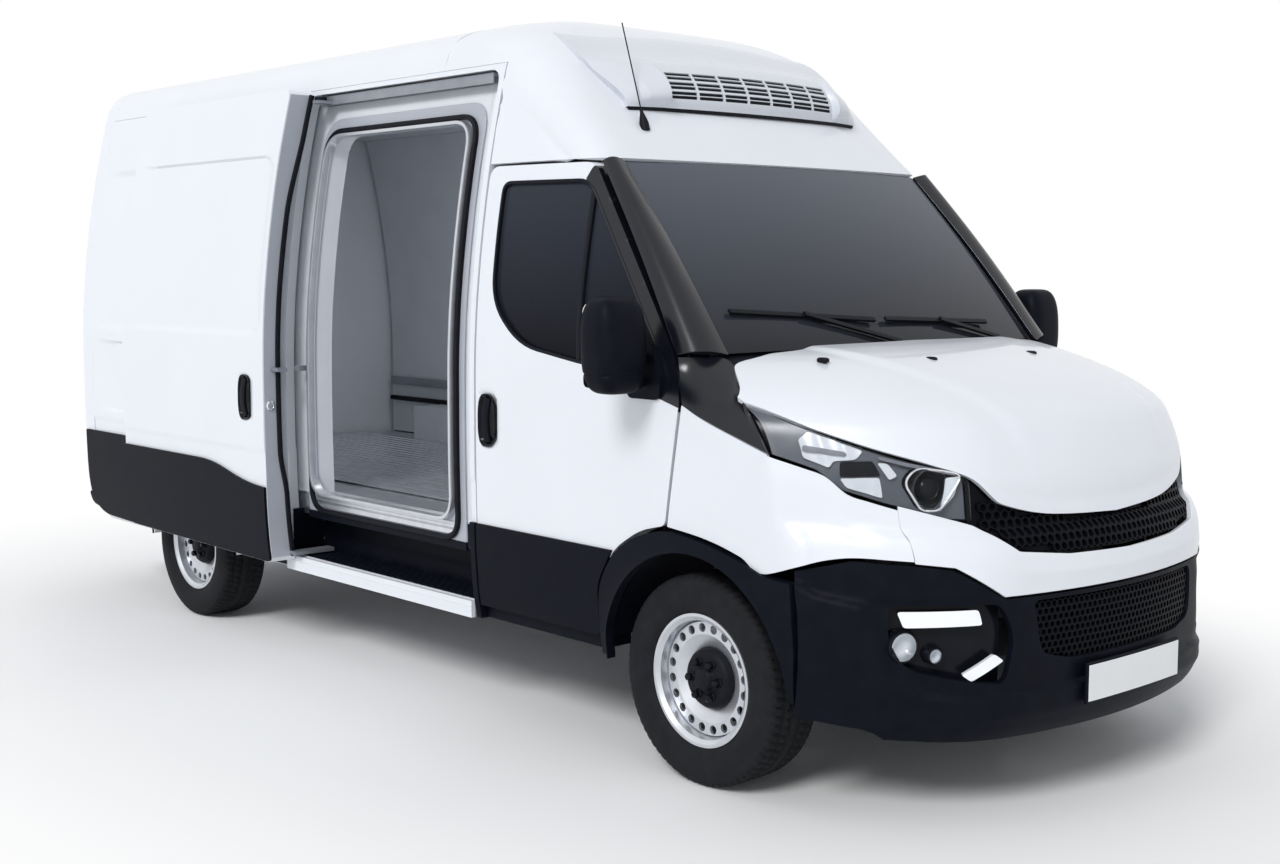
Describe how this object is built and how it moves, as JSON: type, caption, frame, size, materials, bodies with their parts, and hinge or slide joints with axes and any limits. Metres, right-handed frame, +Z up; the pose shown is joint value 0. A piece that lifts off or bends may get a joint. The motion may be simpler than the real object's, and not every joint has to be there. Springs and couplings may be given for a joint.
{
  "type": "refrigerated panel van",
  "caption": "White high-roof refrigerated van with roof cooling unit, insulated load space, open sliding side door, hinged rear doors, opening cab doors and bonnet, and steered wheels.",
  "frame": {"origin": "on the ground, midway along the length and across the width", "axes": "+X ahead, +Y to the left side, +Z up"},
  "size_m": [5.6663, 2.504, 2.66],
  "materials": {
    "white_paint": "cool white gloss paint",
    "black_plastic": "grained dark plastic",
    "chassis_steel": "dark chassis coating",
    "wheel_silver": "silver wheel paint",
    "tyre_rubber": "black rubber",
    "window_glass": "tinted safety glass",
    "cab_trim": "dark moulded trim",
    "seat_fabric": "dark woven seat cloth",
    "white_liner": "smooth white insulated lining",
    "floor_aluminium": "bare aluminium floor",
    "lamp_clear": "clear lamp cover over bright reflectors",
    "lamp_red": "red lamp lens"
  },
  "bodies": {
    "body": {"chassis_frame": "chassis_steel", "engine_block": "chassis_steel", "fuel_tank": "black_plastic", "exhaust": "chassis_steel", "propshaft": "chassis_steel", "rear_axle": "chassis_steel", "leaf_springs": "chassis_steel", "front_suspension": "chassis_steel", "cab_floor": "cab_trim", "arch_liners": "black_plastic", "cab_roof": "white_paint", "pillar_frame": "black_plastic", "windscreen": "window_glass", "wipers": "black_plastic", "front_wings": "white_paint", "front_panel": "white_paint", "grille": "black_plastic", "front_bumper": "black_plastic", "front_lamps": "lamp_clear", "cladding": "black_plastic", "side_panel_left": "white_paint", "side_panel_right": "white_paint", "load_roof": "white_paint", "load_floor": "floor_aluminium", "load_liner": "white_liner", "liner_right": "white_liner", "evaporator": "white_liner", "rear_frame": "white_paint", "tail_lamps": "lamp_red", "rear_bumper": "black_plastic", "entry_step": "floor_aluminium", "slide_rails": "chassis_steel", "sliding_door": "white_paint", "condenser_unit": "white_paint", "dashboard": "cab_trim", "steering_wheel": "cab_trim", "seats": "seat_fabric"},
    "bonnet": {"bonnet": "white_paint"},
    "front_door_left": {"door_left": "white_paint", "door_glass_left": "window_glass", "mirror_left": "black_plastic"},
    "front_door_right": {"door_right": "white_paint", "door_glass_right": "window_glass", "mirror_right": "black_plastic"},
    "back_door_left": {"rear_door_left": "white_paint"},
    "back_door_right": {"rear_door_right": "white_paint"},
    "steer_left": {"knuckle_left": "chassis_steel"},
    "steer_right": {"knuckle_right": "chassis_steel"},
    "wheel_front_left": {"rim_front_left": "wheel_silver", "tyre_front_left": "tyre_rubber"},
    "wheel_front_right": {"rim_front_right": "wheel_silver", "tyre_front_right": "tyre_rubber"},
    "wheel_rear_left": {"rim_rear_left": "wheel_silver", "tyre_rear_left": "tyre_rubber"},
    "wheel_rear_right": {"rim_rear_right": "wheel_silver", "tyre_rear_right": "tyre_rubber"}
  },
  "joints": [
    {"name": "bonnet_hinge", "type": "hinge", "parent": "body", "child": "bonnet", "pos_m": [1.887, 0, 1.41], "axis": [0, -1, 0], "range_deg": [0, 50]},
    {"name": "front_door_left_hinge", "type": "hinge", "parent": "body", "child": "front_door_left", "pos_m": [1.685, 0.972, 0.85], "axis": [0, 0, -1], "range_deg": [0, 65]},
    {"name": "front_door_right_hinge", "type": "hinge", "parent": "body", "child": "front_door_right", "pos_m": [1.685, -0.972, 0.85], "axis": [0, 0, 1], "range_deg": [0, 65]},
    {"name": "back_door_left_hinge", "type": "hinge", "parent": "body", "child": "back_door_left", "pos_m": [-2.819, 0.898, 0.93], "axis": [0, 0.0767, -0.9971], "range_deg": [0, 180]},
    {"name": "back_door_right_hinge", "type": "hinge", "parent": "body", "child": "back_door_right", "pos_m": [-2.819, -0.898, 0.93], "axis": [0, 0.0767, 0.9971], "range_deg": [0, 180]},
    {"name": "steer_left", "type": "hinge", "parent": "body", "child": "steer_left", "pos_m": [1.835, 0.773, 0.349], "axis": [0, 0, 1], "range_deg": [-38, 38]},
    {"name": "steer_right", "type": "hinge", "parent": "body", "child": "steer_right", "pos_m": [1.835, -0.773, 0.349], "axis": [0, 0, 1], "range_deg": [-38, 38]},
    {"name": "spin_front_left", "type": "hinge", "parent": "steer_left", "child": "wheel_front_left", "pos_m": [1.835, 0.868, 0.349], "axis": [0, 1, 0], "continuous": true},
    {"name": "spin_front_right", "type": "hinge", "parent": "steer_right", "child": "wheel_front_right", "pos_m": [1.835, -0.868, 0.349], "axis": [0, 1, 0], "continuous": true},
    {"name": "spin_rear_left", "type": "hinge", "parent": "body", "child": "wheel_rear_left", "pos_m": [-1.685, 0.868, 0.349], "axis": [0, 1, 0], "continuous": true},
    {"name": "spin_rear_right", "type": "hinge", "parent": "body", "child": "wheel_rear_right", "pos_m": [-1.685, -0.868, 0.349], "axis": [0, 1, 0], "continuous": true}
  ],
  "couplings": [
    {"joint": "steer_right", "follows": "steer_left", "ratio": 1}
  ]
}
